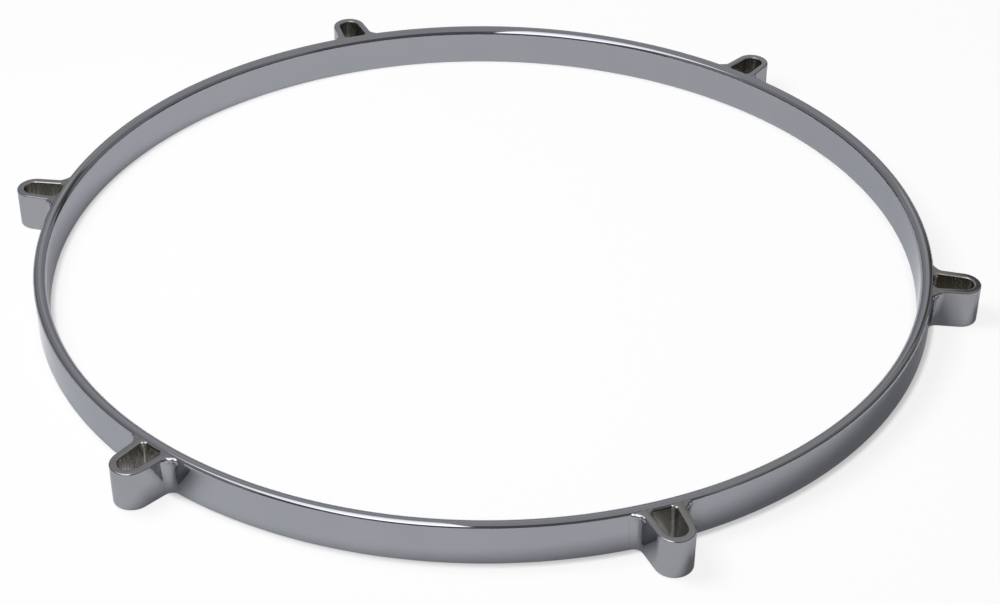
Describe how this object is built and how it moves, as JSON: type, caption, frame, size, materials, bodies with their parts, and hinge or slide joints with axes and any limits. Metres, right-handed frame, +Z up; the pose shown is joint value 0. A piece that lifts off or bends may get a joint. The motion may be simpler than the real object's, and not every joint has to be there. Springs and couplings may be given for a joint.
{
  "type": "drum hoop",
  "caption": "Plain chromed steel drum hoop: a crowned bar ring with U-shaped tension rod ears welded round its outside.",
  "frame": {"origin": "middle of the hoop, on the plane of the bar's lower edge", "axes": "+Z up, along the drum's axis and out of the drumhead; +X out through the middle of an ear"},
  "size_m": [0.4068, 0.3694, 0.0175],
  "materials": {
    "chrome_bar": "polished plating",
    "chrome_strip": "polished plating",
    "chrome_weld": "plating over rippled weld metal"
  },
  "bodies": {
    "root": {"hoop_band": "chrome_bar", "hoop_seam_weld": "chrome_bar", "ear_1": "chrome_strip", "ear_2": "chrome_strip", "ear_3": "chrome_strip", "ear_4": "chrome_strip", "ear_5": "chrome_strip", "ear_6": "chrome_strip", "ear_1_weld_left": "chrome_weld", "ear_1_weld_right": "chrome_weld", "ear_2_weld_left": "chrome_weld", "ear_2_weld_right": "chrome_weld", "ear_3_weld_left": "chrome_weld", "ear_3_weld_right": "chrome_weld", "ear_4_weld_left": "chrome_weld", "ear_4_weld_right": "chrome_weld", "ear_5_weld_left": "chrome_weld", "ear_5_weld_right": "chrome_weld", "ear_6_weld_left": "chrome_weld", "ear_6_weld_right": "chrome_weld"}
  },
  "joints": []
}
